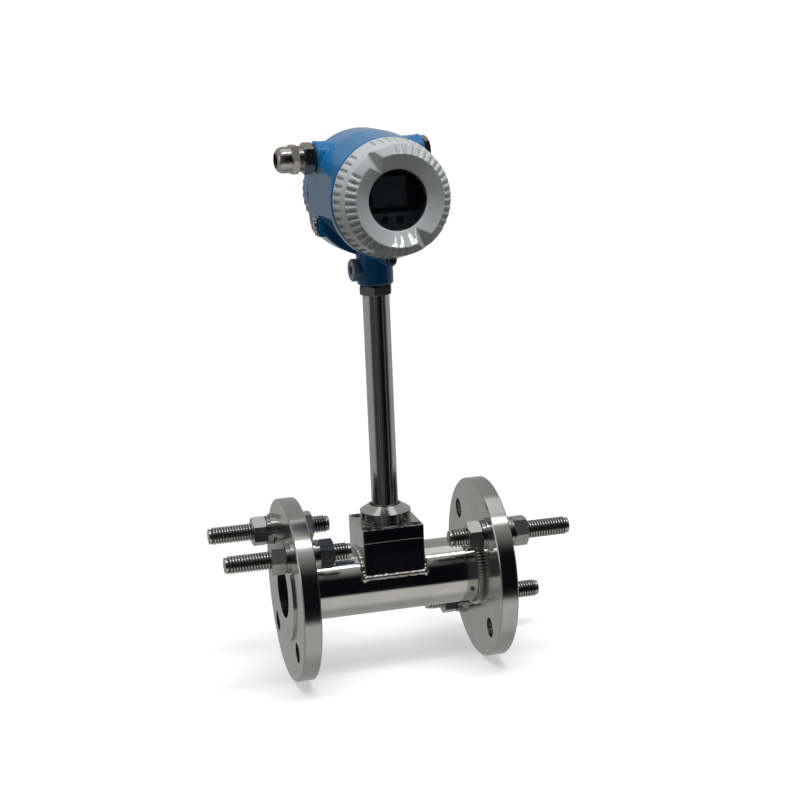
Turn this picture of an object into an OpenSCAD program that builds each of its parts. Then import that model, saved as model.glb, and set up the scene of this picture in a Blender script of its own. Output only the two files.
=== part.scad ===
// Flanged vortex flow meter with a raised transmitter head.
// Origin: centre of the inlet sealing face. +X along the flow, +Z up the stem.

/* [Flow tube] */
// Distance between the two sealing faces
face_to_face = 198; // [160:1:260]
// Outside diameter of the pipe
pipe_od = 60.3; // [48:0.1:76]
// Diameter of the flow passage
bore_d = 50; // [36:0.5:64]
// Place of the stem along the flow
sensor_x = 98; // [80:1:130]
// Width of the bluff face of the shedder bar
shedder_w = 14; // [10:0.5:18]
// Length of the shedder bar along the flow
shedder_len = 18; // [12:0.5:24]
// Leg of the weld beads
weld_leg = 5; // [3:0.5:8]

/* [Flanges] */
// Outside diameter of each flange
flange_d = 165; // [140:1:200]
// Thickness of the flange rim
flange_t = 16; // [12:0.5:24]
// Height of the raised sealing face
raised_h = 2; // [1:0.5:3]
// Diameter of the raised sealing face
raised_d = 92; // [80:1:94]
// Bolt circle diameter
bolt_circle = 125; // [110:1:150]
// Bolt hole diameter
bolt_hole_d = 18; // [16:0.5:22]
// Edge chamfer of the flange rim
flange_chamfer = 1; // [0.5:0.5:3]

/* [Studs] */
// Thread diameter of the studs
stud_d = 16; // [12:1:18]
// Length of each stud
stud_len = 112; // [90:1:140]
// How far a stud stands out past the sealing face
stud_out = 58; // [40:1:70]
// Width across flats of the stud nuts
nut_af = 24; // [18:1:30]
// Height of the stud nuts
nut_h = 13; // [8:0.5:18]
// Outside diameter of the flat washers
washer_d = 30; // [24:1:32]
// Thickness of the flat washers
washer_t = 3; // [1.5:0.5:4]
// Outside diameter of the spring washers
spring_d = 26.4; // [20:0.2:30]
// Thickness of the spring washers
spring_t = 4; // [2:0.5:6]

/* [Sensor block] */
// Side of the square block
block_w = 56; // [48:1:70]
// Height of the block top above the pipe axis
block_top = 43; // [38:0.5:60]
// Thickness of the cap plate
cap_t = 12; // [8:0.5:20]
// Distance of the cap screws from the stem axis, along each side
cap_screw_at = 21.5; // [18:0.5:30]
// Depth of the screw head pockets in the cap plate
cap_pocket = 6.5; // [3:0.5:8]
// Thread diameter of the cap screws
cap_screw_d = 6; // [5:1:8]
// Diameter of the sensor well in the block
well_d = 26; // [20:0.5:32]
// Diameter of the sensor flange
probe_flange_d = 36; // [30:0.5:42]
// Thickness of the fin that stands in the flow
fin_t = 3; // [2:0.5:5]

/* [Stem] */
// Outside diameter of the stem tube
stem_d = 24; // [18:0.5:34]
// Wall of the stem tube
stem_wall = 2.5; // [1.5:0.5:4]
// Diameter of the collar on the cap plate
collar_d = 46; // [36:1:54]
// Height of the collar
collar_h = 16; // [12:0.5:24]
// Height of the upright side of the collar
collar_rim = 11; // [6:0.5:11.5]
// Height of the underside of the head neck above the pipe axis
neck_z = 271; // [180:1:400]
// Width across flats of the lock nut
lock_nut_af = 27; // [26:1:40]
// Height of the lock nut
lock_nut_h = 8.5; // [5:0.5:14]

/* [Head] */
// Turn of the head on its stem, away from looking straight across the flow
head_turn = 5; // [-175:1:175]
// Height of the head axis above the underside of the neck
head_rise = 80; // [72:1:110]
// Radius of the barrel
barrel_r = 52; // [50:0.5:70]
// How much larger the radius of the barrel is behind than at its front
crown = 3; // [0.5:0.5:5]
// Half width over the flat sides
flat_x = 48.5; // [46:0.5:60]
// Forward reach of the barrel
front_f = 47.5; // [40:0.5:60]
// Backward reach of the barrel
rear_f = 30; // [29:0.5:60]
// Radius of the cover threads
thread_r = 43; // [40:0.5:46]
// Radius of the inner chambers
chamber_r = 41; // [38:0.5:44]
// Radius of the neck
neck_r = 16.1; // [14:0.1:24]
// Height of the cable entries above the head axis
entry_z = 33; // [28:0.5:40]
// How far the cable entries lie behind the stem axis
entry_back = 7; // [0:0.5:8]
// Radius of the cable entry bosses
entry_r = 14; // [13:0.5:18]
// Reach of the cable entry bosses from the stem axis
entry_x = 49; // [46:0.5:60]
// Radius of the cable entry thread
entry_bore_r = 10; // [8:0.5:12]

/* [Covers] */
// Radius of the front cover at its rear rim
cover_r = 51.5; // [49:0.5:58]
// Radius of the front cover at its shoulder
cover_front_r = 46.6; // [44:0.2:56]
// Radius of the outer edge of the dished face
dish_r = 39.2; // [34:0.2:43]
// How far the shoulder lies behind the edge of the dished face
shoulder = 4.7; // [3:0.1:8]
// Length of the front cover
cover_len = 26.6; // [20:0.2:40]
// Radius of the window opening
window_r = 25.8; // [18:0.2:30]
// Depth of the dished face at the window
dish = 6; // [4:0.5:12]
// Direction of the spanner notches
notch_deg = 121; // [90:1:180]
// Number of grip grooves round each cover
grip_count = 46; // [24:2:52]
// Depth of the grip grooves
grip_depth = 2; // [0.8:0.1:2.4]
// Radius of the rear cover
rear_cover_r = 48.5; // [48:0.5:56]
// Length of the rear cover
rear_cover_len = 20; // [14:0.5:30]
// Gap that the compressed seal leaves between cover and ring
seal_gap = 0.85; // [0.7:0.05:1.5]
// Section radius of the cover seals
seal_r = 1.2; // [1:0.05:1.6]
// Radius of the cover seal centre line
seal_at = 46; // [45:0.5:50]

/* [Display] */
// Radius of the display bezel
bezel_r = 37; // [30:0.5:39]
// Width of the display panel
lcd_w = 32; // [24:1:40]
// Height of the display panel
lcd_h = 26; // [18:1:32]
// Height of the display panel centre above the head axis
lcd_up = 5; // [0:0.5:10]
// Radius of the push buttons
button_r = 3; // [2:0.1:4]
// Travel of the push buttons
button_travel = 0.8; // [0.4:0.1:1.2]
// Drop of the push buttons below the head axis
button_drop = 18.5; // [14:0.5:22]

/* [Cable entries] */
// Width across flats of the gland
gland_af = 24; // [20:1:30]
// Length of the gland hexagon next to the head
gland_hex_l = 9.5; // [6:0.5:14]
// Length of the gland nut hexagon
gland_nut_l = 7; // [4:0.5:12]
// Length of the rounded end of the gland nut
gland_dome_l = 12.5; // [8:0.5:20]
// Radius of the cable hole in the gland insert
cable_r = 5; // [3:0.5:6]
// Width across flats of the blind plug
plug_af = 23; // [18:1:30]
// Length of the blind plug hexagon
plug_hex_l = 5; // [4:0.5:14]

/* [Fits] */
// Radial clearance of running fits
run_gap = 0.05; // [0.02:0.01:0.1]
// Clearance of seated pieces
seat_gap = 0.1; // [0.05:0.05:0.3]
// Gap between curved faces of pieces that move
free_gap = 0.3; // [0.3:0.05:0.6]

/* [Hidden] */
$fn = 96;
pipe_r = pipe_od / 2;
bore_r = bore_d / 2;
flange_r = flange_d / 2;
bolt_r = bolt_circle / 2;
flange_in = raised_h + flange_t;
cap_top = block_top + cap_t;
stem_r = stem_d / 2;
stem_socket = 30;
collar_gap = 1.7;
stem_top = neck_z + stem_socket;
head_z = neck_z + head_rise;
hw = block_w / 2;
well_r = well_d / 2;
seat_depth = 7;
seat_z = block_top - seat_depth;
gasket_t = 2;
probe_t = 5;
probe_r = probe_flange_d / 2;
shaft_r = 9;
fin_w = 12;
fin_drop = 2;
shedder_lead = 20;
shedder_x = sensor_x - shedder_lead;
cover_back = front_f + seal_gap;
cover_front = cover_back + cover_len;
window_f = cover_front - dish;
lip_f = window_f - 2.3;
gasket_w = 0.8;
glass_t = 6;
glass_r = window_r + 4.3;
retain_t = 4;
notch_rise = 0.7;
rear_back = rear_f + seal_gap;
rear_end = rear_back + rear_cover_len;
wall_front = -12;
wall_back = -16;
bezel_f = 45;
bezel_t = 4;
board_f = 33;
board_t = 1.6;
main_f = 8;
pillar_r = 30;
button_x = [-4.5, 8.5];
button_f = bezel_f + 2 * button_travel;
board_r = bezel_r - 1;
terminal_w = 54;
terminal_h = 22;
terminal_t = 16;
terminal_low = 15;
terminal_pitch = 10;
terminal_hole_r = 3.2;
terminal_screw_r = 3;
wire_hole = 6;
swivel_up = 14;
swivel_z = neck_z + swivel_up;
swivel_x = neck_r + 1.4;
swivel_boss_r = 9;
swivel_head_r = 10;
swivel_head_h = 3.6;
swivel_screw_r = 4;
spot_gap = 0.5;
shell_r = max(barrel_r, seal_at + seal_r + 3);
side_x = max(flat_x, seal_at + seal_r + 1.3);
rim_w = 8.5;
rim_f = front_f - rim_w;
rim_step = 1.2;
back_r = shell_r + crown;
crown_f = 8;
lock_boss_r = 5.5;
lock_out = 1.5;
lock_drop = shell_r + lock_out;
lock_from = 22;
lock_seat = 3.2;
lock_screw_d = 4;
lock_head_d = lock_screw_d * 1.75;
lock_shank = 10;
lug_front = 1;
lug_w = 13.5;
lug_y = lug_front + lug_w / 2;
lug_z = -25;
lug_out = 0.4;
lug_x = side_x + lug_out;
relief_z = 15.7;
relief = max((side_x + relief_z) * sin(45), thread_r + 2);
lug_h = 20;
lug_screw_r = 2.5;
lug_shank = 9;
clamp_t = 1.6;
clamp_w = 12;
clamp_h = 13.5;
seal_t = 1.2;
entry_seal_r = gland_af / 2;
gland_thread_l = 14;
plug_thread_l = 12;
gland_neck_r = 10.5;
gland_neck_l = 4;
gland_clamp_r = 9;
gland_clamp_l = 8;
gland_bore_r = 7;
gland_dome_r = 11.4;
gland_round = 7;
gland_mouth_r = 6.6;
notch_l = 40;
neck_in = 15;
thread_depth = 13.5;
rear_thread_depth = 11;
notch_fall = 8;
notch_w = 30;

// Placing helpers: the head frame looks forward along the cover axis
module at_head() { translate([sensor_x, 0, head_z]) rotate([0, 0, head_turn]) children(); }
module forward() { at_head() rotate([90, 0, 0]) children(); }
module along_x() { rotate([0, 90, 0]) children(); }
module leftward(z) { translate([0, 0, z]) rotate([0, -90, 0]) children(); }
module rightward(z) { mirror([1, 0, 0]) leftward(z) children(); }
module ring(ro, ri, h) {
  difference() {
    cylinder(r = ro, h = h);
    translate([0, 0, -1]) cylinder(r = ri, h = h + 2);
  }
}
module hexagon(af, h) { cylinder(d = af / cos(30), h = h, $fn = 6); }
// Hexagon with both ends turned to a chamfer
module turned_hex(af, h) {
  big_r = af / cos(30) / 2 + 1;
  k = (big_r - af / 2) * tan(30);
  intersection() {
    hexagon(af, h);
    rotate_extrude() polygon([
      [0, 0], [af / 2 - 0.4, 0], [big_r, k], [big_r, h - k], [af / 2 - 0.4, h], [0, h]]);
  }
}

// Flow tube
module meter_pipe() {
  color("silver") difference() {
    translate([flange_in, 0, 0]) along_x() cylinder(r = pipe_r, h = face_to_face - 2 * flange_in);
    translate([-1, 0, 0]) along_x() cylinder(r = bore_r, h = face_to_face + 2);
    translate([sensor_x, 0, 0]) cylinder(r = shaft_r + 1, h = pipe_r + 5);
  }
}
module flange() {
  difference() {
    along_x() rotate_extrude() polygon([
      [bore_r, 0], [raised_d / 2, 0], [raised_d / 2, raised_h],
      [flange_r - flange_chamfer, raised_h], [flange_r, raised_h + flange_chamfer],
      [flange_r, flange_in - flange_chamfer], [flange_r - flange_chamfer, flange_in],
      [bore_r, flange_in]]);
    for (a = [45 : 90 : 315])
      rotate([a, 0, 0]) translate([-1, 0, bolt_r]) along_x() cylinder(d = bolt_hole_d, h = flange_in + 2);
  }
}
module outlet_side() { translate([face_to_face, 0, 0]) mirror([1, 0, 0]) children(); }
module inlet_flange() { color("silver") flange(); }
module outlet_flange() { color("silver") outlet_side() flange(); }
module flange_bead() {
  translate([flange_in, 0, 0]) along_x() rotate_extrude() polygon([
    [pipe_r + run_gap, 0], [pipe_r + weld_leg, 0], [pipe_r + weld_leg * 0.72, weld_leg * 0.35],
    [pipe_r + weld_leg * 0.35, weld_leg * 0.72], [pipe_r + run_gap, weld_leg]]);
}
module flange_welds() {
  color("gray") {
    flange_bead();
    outlet_side() flange_bead();
  }
}
// Bluff bar: wide face to the flow, tapering downstream
module shedder_bar() {
  color("silver") intersection() {
    translate([shedder_x, 0, -bore_r]) linear_extrude(bore_d) polygon([
      [-shedder_len / 2, -shedder_w / 2], [-shedder_len / 2, shedder_w / 2],
      [-shedder_len / 2 + 3, shedder_w / 2], [shedder_len / 2, shedder_w / 6],
      [shedder_len / 2, -shedder_w / 6], [-shedder_len / 2 + 3, -shedder_w / 2]]);
    along_x() cylinder(r = bore_r - run_gap, h = face_to_face);
  }
}

// Sensor block
module square_plate(w, c, h) {
  linear_extrude(h) polygon([
    [c - w, -w], [w - c, -w], [w, c - w], [w, w - c],
    [w - c, w], [c - w, w], [-w, w - c], [-w, c - w]]);
}
module cap_corners() {
  for (x = [-1, 1])
    for (y = [-1, 1])
      translate([sensor_x + x * cap_screw_at, y * cap_screw_at, 0]) children();
}
module sensor_block() {
  color("silver") difference() {
    translate([sensor_x, 0, 4]) square_plate(hw, 0.8, block_top - 4);
    along_x() cylinder(r = pipe_r + run_gap, h = face_to_face);
    translate([sensor_x, 0, 0]) cylinder(r = well_r, h = block_top + 1);
    translate([sensor_x, 0, seat_z]) cylinder(r = probe_r + seat_gap, h = 20);
    cap_corners() translate([0, 0, block_top - 14]) cylinder(d = cap_screw_d + 0.1, h = 20);
  }
}
module block_weld() {
  e = weld_leg * 0.5;
  y0 = hw + 0.2;
  a0 = asin(hw / pipe_r);
  color("gray") difference() {
    union() {
      for (s = [-1, 1])
        translate([sensor_x - hw, s * y0, sqrt(pipe_r * pipe_r - hw * hw)]) along_x()
          cylinder(r = e, h = block_w);
      for (s = [-1, 1])
        translate([sensor_x + s * hw, 0, 0]) rotate([90 - a0, 0, 0]) along_x()
          rotate([0, 0, 90]) rotate_extrude(angle = 2 * a0) translate([pipe_r, 0]) circle(r = e, $fn = 32);
    }
    along_x() cylinder(r = pipe_r + run_gap, h = face_to_face);
    translate([sensor_x, 0, 0]) square_plate(hw + run_gap, 0.8, block_top);
  }
}
module sensor_gasket() {
  color("dimgray") translate([sensor_x, 0, seat_z]) ring(probe_r, well_r, gasket_t);
}
module vortex_sensor() {
  color("lightgray") translate([sensor_x, 0, 0]) {
    translate([0, 0, seat_z + gasket_t]) cylinder(r = probe_r, h = probe_t);
    translate([0, 0, pipe_r - 6]) cylinder(r = shaft_r, h = seat_z + gasket_t - pipe_r + 7);
    translate([-fin_w / 2, -fin_t / 2, fin_w / 2]) cube([fin_w, fin_t, pipe_r - fin_w / 2 - fin_drop]);
  }
}
module cap_plate() {
  color("silver") difference() {
    translate([sensor_x, 0, block_top]) square_plate(hw, 0.8, cap_t);
    translate([sensor_x, 0, block_top - 1]) cylinder(r = stem_r - stem_wall, h = cap_t + 2);
    cap_corners() translate([0, 0, block_top - 1]) cylinder(d = cap_screw_d + 0.6, h = cap_t + 2);
    cap_corners() translate([0, 0, cap_top - cap_pocket]) cylinder(d = cap_screw_d * 1.8, h = cap_pocket + 1);
  }
}
module socket_screw(d, shank, head_d, head_h, key) {
  translate([0, 0, -shank]) cylinder(d = d, h = shank + 0.01);
  difference() {
    union() {
      cylinder(d = head_d, h = head_h * 0.85);
      translate([0, 0, head_h * 0.85]) cylinder(d1 = head_d, d2 = head_d * 0.88, h = head_h * 0.15);
    }
    translate([0, 0, head_h * 0.45]) hexagon(key, head_h);
  }
}
module cap_screws() {
  color("dimgray") cap_corners() translate([0, 0, cap_top - cap_pocket])
    socket_screw(cap_screw_d, cap_t - cap_pocket + 2 * cap_screw_d,
      cap_screw_d * 1.67, cap_screw_d, cap_screw_d * 0.83);
}

// Stem
module stem_collar() {
  rim = min(collar_rim, collar_h - 1);
  throat = stem_r + collar_gap;
  color("silver") translate([sensor_x, 0, cap_top]) rotate_extrude() polygon([
    [stem_r + seat_gap, 0], [collar_d / 2 - 0.6, 0], [collar_d / 2, 0.6],
    [collar_d / 2, rim - 0.6], [collar_d / 2 - 0.8, rim], [throat + 0.5, collar_h],
    [throat, collar_h - 0.4], [throat, collar_h - 4], [stem_r + seat_gap, collar_h - 4]]);
}
module stem_tube() {
  color("silver") translate([sensor_x, 0, cap_top]) ring(stem_r, stem_r - stem_wall, stem_top - cap_top);
}
module lock_nut() {
  color("dimgray") translate([sensor_x, 0, neck_z - free_gap - lock_nut_h]) difference() {
    rotate([0, 0, 12]) turned_hex(lock_nut_af, lock_nut_h);
    translate([0, 0, -1]) cylinder(r = stem_r + seat_gap, h = lock_nut_h + 2);
  }
}

// Flange studs: two in each flange, the other holes stay free
module stud_places() {
  for (a = [45, -45]) rotate([a, 0, 0]) translate([0, 0, bolt_r]) children();
  outlet_side() for (a = [45, -135]) rotate([a, 0, 0]) translate([0, 0, bolt_r]) children();
}
module both_faces() {
  translate([flange_in, 0, 0]) along_x() children();
  translate([raised_h, 0, 0]) rotate([0, -90, 0]) children();
}
module flange_studs() {
  color("silver") stud_places() translate([-stud_out, 0, 0]) along_x() {
    cylinder(d1 = stud_d - 3, d2 = stud_d, h = 1.5);
    translate([0, 0, 1.5]) cylinder(d = stud_d, h = stud_len - 3);
    translate([0, 0, stud_len - 1.5]) cylinder(d1 = stud_d, d2 = stud_d - 3, h = 1.5);
  }
}
module stud_washers() {
  color("silver") stud_places() both_faces() ring(washer_d / 2, stud_d / 2 + 0.5, washer_t);
}
module stud_spring_washers() {
  color("dimgray") stud_places() both_faces() translate([0, 0, washer_t]) difference() {
    ring(spring_d / 2, stud_d / 2 + 0.3, spring_t);
    rotate([0, 0, 70]) translate([stud_d / 4, -0.6, -1]) cube([spring_d, 1.2, spring_t + 2]);
  }
}
module stud_nuts() {
  color("silver") stud_places() both_faces() translate([0, 0, washer_t + spring_t]) difference() {
    rotate([0, 0, 15]) turned_hex(nut_af, nut_h);
    translate([0, 0, -1]) cylinder(r = stud_d / 2 + seat_gap, h = nut_h + 2);
  }
}

// Head housing
module barrel_solid() {
  forward() difference() {
    rotate_extrude() polygon([
      [0, -rear_f], [back_r - 2, -rear_f], [back_r, 2 - rear_f], [back_r, crown_f], [shell_r, rim_f + 2],
      [shell_r, front_f - 1], [shell_r - 1, front_f], [0, front_f]]);
    for (s = [-1, 1])
      translate([s > 0 ? side_x : -side_x - shell_r, -2 * shell_r, -rear_f - 1])
        cube([shell_r, 4 * shell_r, rim_f + rear_f + 1]);
    rotate([0, 0, 225]) translate([relief, -shell_r, 0.5 - lug_front])
      cube([shell_r, 2 * shell_r, rim_f + lug_front - 0.5 - rim_step]);
  }
}
module entry_boss() {
  lip = entry_r + 0.6;
  root = min(entry_r + 11, rear_f - entry_back - 3);
  rotate_extrude() polygon([
    [0, 10], [entry_r, 10], [entry_r, entry_x - 5], [lip, entry_x - 3],
    [lip, entry_x - 1.2], [lip - 1.2, entry_x], [0, entry_x]]);
  difference() {
    translate([0, 0, 20]) cylinder(r1 = root, r2 = entry_r - 1, h = 22);
    translate([entry_r - 1, -2 * entry_x, 0]) cube([entry_x, 4 * entry_x, 2 * entry_x]);
  }
}
module housing_solid() {
  barrel_solid();
  at_head() {
    translate([0, entry_back, 0]) {
      leftward(entry_z) entry_boss();
      rightward(entry_z) entry_boss();
    }
    translate([0, 0, -head_rise]) {
      cylinder(r1 = neck_r - 1.5, r2 = neck_r, h = 1.5);
      translate([0, 0, 1.5]) cylinder(r = neck_r, h = head_rise - shell_r + neck_in);
      leftward(swivel_up) cylinder(r = swivel_boss_r, h = swivel_x + 3);
    }
    translate([-lug_x, lug_y - lug_w / 2, lug_z - lug_h / 2]) cube([lug_x / 2, lug_w, lug_h]);
    translate([0, -lock_from, -lock_drop]) rotate([90, 0, 0])
      cylinder(r = lock_boss_r, h = front_f - lock_seat - lock_from + 0.4);
  }
}
module seal_groove(r, floor_f, top_f) {
  translate([0, 0, floor_f]) ring(r + seal_r + 0.35, r - seal_r - 0.35, top_f - floor_f);
}
module housing() {
  seal_low = seal_r * 2 + 0.65 - seal_gap;
  color("royalblue") difference() {
    housing_solid();
    forward() {
      translate([0, 0, front_f - thread_depth]) cylinder(r = thread_r, h = thread_depth + 1);
      translate([0, 0, wall_front]) cylinder(r = chamber_r, h = front_f - wall_front + 1);
      translate([0, 0, -rear_f - 1]) cylinder(r = chamber_r, h = rear_f + 1 + wall_back);
      translate([0, 0, -rear_f - 1]) cylinder(r = thread_r, h = rear_thread_depth + 1);
      seal_groove(seal_at, front_f - seal_low, front_f + 1);
      mirror([0, 0, 1]) seal_groove(seal_at, rear_f - seal_low, rear_f + 1);
    }
    at_head() {
      translate([0, entry_back, 0]) {
        leftward(entry_z) translate([0, 0, entry_x - 31]) cylinder(r = entry_bore_r, h = entry_x);
        rightward(entry_z) translate([0, 0, entry_x - 31]) cylinder(r = entry_bore_r, h = entry_x);
      }
      translate([0, 0, -head_rise - 1]) cylinder(r = stem_r + run_gap, h = 33);
      translate([0, 0, -head_rise]) cylinder(r = 8, h = head_rise - chamber_r + 6);
      leftward(swivel_z - head_z) cylinder(r = swivel_screw_r + run_gap, h = flat_x);
      leftward(swivel_z - head_z) translate([0, 0, swivel_x])
        cylinder(r = swivel_head_r + spot_gap, h = flat_x);
      translate([0, lock_seat + lock_shank + 1 - front_f, -lock_drop]) rotate([90, 0, 0])
        cylinder(r = lock_screw_d / 2 + run_gap, h = 2 * lock_shank);
      translate([0, lock_seat - front_f, -lock_drop]) rotate([90, 0, 0])
        cylinder(r = lock_head_d / 2 + spot_gap, h = 2 * lock_seat);
      translate([-lug_x - 1, lug_y, lug_z]) along_x() cylinder(r = lug_screw_r + run_gap, h = lug_shank + 5);
    }
  }
}
module swivel_lock_screw() {
  color("lightslategray") at_head() leftward(swivel_z - head_z) translate([0, 0, swivel_x]) difference() {
    union() {
      translate([0, 0, stem_r + free_gap - swivel_x]) cylinder(r = swivel_screw_r, h = swivel_x - stem_r);
      cylinder(r = swivel_head_r, h = swivel_head_h);
      translate([0, 0, swivel_head_h]) cylinder(r1 = swivel_head_r, r2 = swivel_head_r - 1, h = 1);
    }
    translate([0, 0, 2]) hexagon(8, 10);
  }
}
module cover_lock_screw() {
  color("dimgray") at_head() translate([0, lock_seat - front_f, -lock_drop]) rotate([90, 0, 0])
    socket_screw(lock_screw_d, lock_shank, lock_head_d, lock_screw_d * 0.75, lock_screw_d * 0.75);
}
module earth_clamp() {
  color("silver") at_head() translate([-lug_x, lug_y, lug_z]) rotate([0, -90, 0]) difference() {
    translate([-clamp_h / 2, -clamp_w / 2, 0]) cube([clamp_h, clamp_w, clamp_t]);
    translate([0, 0, -1]) cylinder(r = lug_screw_r + free_gap, h = clamp_t + 2);
  }
}
module earth_screw() {
  color("silver") at_head() translate([-lug_x - clamp_t, lug_y, lug_z]) rotate([0, -90, 0]) difference() {
    union() {
      translate([0, 0, -lug_shank]) cylinder(r = lug_screw_r, h = lug_shank + 0.01);
      cylinder(r = 4.6, h = 1.6);
      translate([0, 0, 1.6]) cylinder(r1 = 4.6, r2 = 3.8, h = 0.6);
    }
    translate([-6, -0.6, 1]) cube([12, 1.2, 4]);
  }
}

// Covers
module cover_seal(f) { forward() translate([0, 0, f]) rotate_extrude() translate([seal_at, 0])
  circle(r = seal_r, $fn = 48); }
module front_seal() { color("black") cover_seal(cover_back - free_gap - seal_r); }
module rear_seal() { color("black") cover_seal(-rear_back + free_gap + seal_r); }
// Angle from a groove to the nearest spanner notch
function off_notch(a) = abs(((a - notch_deg) % 180 + 270) % 180 - 90);
module front_cover() {
  pitch = 360 / grip_count;
  slot = PI * cover_front_r / grip_count;
  taper = atan((cover_r - cover_front_r) / (cover_len - shoulder));
  bevel = atan(shoulder / (cover_front_r - dish_r));
  color("gainsboro") forward() difference() {
    rotate_extrude() polygon([
      [thread_r - run_gap, cover_back - 10], [thread_r - run_gap, cover_back],
      [cover_r - 0.8, cover_back], [cover_r, cover_back + 0.8],
      [cover_front_r, cover_front - shoulder], [dish_r, cover_front],
      [window_r + 1, window_f], [window_r, window_f - 0.8],
      [window_r, lip_f], [glass_r + seat_gap, lip_f],
      [glass_r + seat_gap, lip_f - gasket_w - glass_t - retain_t],
      [38.5, lip_f - gasket_w - glass_t - retain_t], [39.5, cover_back - 10]]);
    for (i = [0 : grip_count - 1]) {
      a = i * pitch;
      if (off_notch(a) > 11) rotate([0, 0, a])
        translate([cover_r, -slot / 2, cover_back + 2]) rotate([0, -taper, 0])
          translate([-grip_depth, 0, 0]) cube([8, slot, 0.42 * cover_len]);
      if (off_notch(a) > 20) rotate([0, 0, a])
        translate([dish_r + 0.6, -slot / 2, cover_front]) rotate([0, bevel, 0])
          translate([0, 0, -grip_depth]) cube([20, slot, 8]);
    }
    for (a = [notch_deg, notch_deg + 180])
      rotate([0, 0, a]) translate([window_r - 1, 0, window_f + notch_rise]) rotate([0, notch_fall, 0])
        rotate([45, 0, 0]) cube([notch_l, notch_w, notch_w]);
  }
}
module window_gasket() {
  color("black") forward() translate([0, 0, lip_f - gasket_w]) ring(glass_r, window_r + 0.4, gasket_w);
}
module window_glass() {
  color("darkslategray") forward() translate([0, 0, lip_f - gasket_w - glass_t])
    cylinder(r = glass_r, h = glass_t);
}
module glass_retainer() {
  color("gray") forward() translate([0, 0, lip_f - gasket_w - glass_t - retain_t]) difference() {
    ring(glass_r, window_r + 0.5, retain_t);
    for (a = [0, 180]) rotate([0, 0, a]) translate([window_r - 2, -1.5, -1]) cube([8, 3, 3]);
  }
}
module rear_cover() {
  pitch = 360 / grip_count;
  color("royalblue") forward() mirror([0, 0, 1]) difference() {
    rotate_extrude() polygon([
      [thread_r - run_gap, rear_back - 9], [thread_r - run_gap, rear_back],
      [rear_cover_r - 0.8, rear_back], [rear_cover_r, rear_back + 0.8],
      [rear_cover_r, rear_end - 4], [rear_cover_r - 1.2, rear_end - 1.2], [rear_cover_r - 4, rear_end],
      [rear_cover_r - 6, rear_end], [rear_cover_r - 14, rear_end - 5], [0, rear_end - 5],
      [0, rear_end - 9], [38.5, rear_end - 9], [39.5, rear_back - 9]]);
    for (i = [0 : grip_count - 1])
      rotate([0, 0, i * pitch]) translate([rear_cover_r + 1.1, 0, rear_back + 3])
        cylinder(r = 2.6, h = 40, $fn = 32);
    for (a = [notch_deg, notch_deg + 180])
      rotate([0, 0, 180 - a]) translate([rear_cover_r - 16, 0, rear_end - 5 + notch_rise])
        rotate([45, 0, 0]) cube([notch_l, notch_w, notch_w]);
  }
}

// Display and electronics
module lcd_outline(g) { translate([-lcd_w / 2 - g, lcd_up - lcd_h / 2 - g, 0]) children(); }
module display_bezel() {
  color("dimgray") forward() difference() {
    translate([0, 0, bezel_f - bezel_t]) cylinder(r = bezel_r, h = bezel_t);
    lcd_outline(0) translate([0, 0, bezel_f - bezel_t - 1]) cube([lcd_w, lcd_h, bezel_t + 2]);
    for (x = button_x)
      translate([x, -button_drop, bezel_f - bezel_t - 1]) cylinder(r = button_r + free_gap, h = bezel_t + 2);
  }
}
module display_panel() {
  color("darkslategray") forward() lcd_outline(-seat_gap) translate([0, 0, board_f + board_t])
    cube([lcd_w - 2 * seat_gap, lcd_h - 2 * seat_gap, bezel_f - 1 - board_f - board_t]);
}
module push_button(x) {
  forward() translate([x, -button_drop, 0]) {
    translate([0, 0, bezel_f - bezel_t - 2.6]) cylinder(r = button_r + 1.2, h = 2.6 - free_gap);
    translate([0, 0, bezel_f - bezel_t - 1]) cylinder(r = button_r, h = button_f - bezel_f + bezel_t + 0.6);
    translate([0, 0, button_f - 0.4]) cylinder(r1 = button_r, r2 = button_r - 0.4, h = 0.4);
  }
}
module left_button() { color("black") push_button(button_x[0]); }
module right_button() { color("black") push_button(button_x[1]); }
module pillar_places() { for (a = [90, 210, 330]) rotate([0, 0, a]) translate([pillar_r + 2, 0, 0])
  children(); }
module board(f) {
  translate([0, 0, f]) difference() {
    cylinder(r = board_r, h = board_t);
    pillar_places() translate([0, 0, -1]) cylinder(r = 1.6, h = board_t + 2);
  }
}
module display_board() { color("darkgreen") forward() board(board_f); }
module main_board() { color("darkgreen") forward() board(main_f); }
module board_pillars() {
  color("silver") forward() pillar_places() {
    translate([0, 0, wall_front]) hexagon(6, main_f - wall_front);
    translate([0, 0, main_f + board_t]) hexagon(6, board_f - main_f - board_t);
    translate([0, 0, main_f - 0.01]) cylinder(r = 1.5, h = board_t + 0.02);
    translate([0, 0, board_f + board_t]) hexagon(6, bezel_f - bezel_t - board_f - board_t);
    translate([0, 0, board_f - 0.01]) cylinder(r = 1.5, h = board_t + 0.02);
  }
}
module terminal_block() {
  color("darkolivegreen") forward() difference() {
    translate([-terminal_w / 2, -terminal_low, wall_back - terminal_t])
      cube([terminal_w, terminal_h, terminal_t]);
    for (i = [-2 : 2]) translate([i * terminal_pitch, 0, wall_back - terminal_t]) {
      translate([0, 0, -1]) cylinder(r = terminal_hole_r, h = wire_hole);
      translate([-wire_hole / 2, -terminal_low - 1, wire_hole])
        cube([wire_hole, 1.5 * wire_hole, wire_hole - 1]);
    }
  }
}
module terminal_screws() {
  color("silver") forward() for (i = [-2 : 2])
    translate([i * terminal_pitch, 0, wall_back - terminal_t + 1]) difference() {
      cylinder(r = terminal_screw_r, h = wire_hole - 2);
      translate([-terminal_screw_r - 1, -0.4, -1]) cube([2 * terminal_screw_r + 2, 0.8, 1.8]);
    }
}

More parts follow.
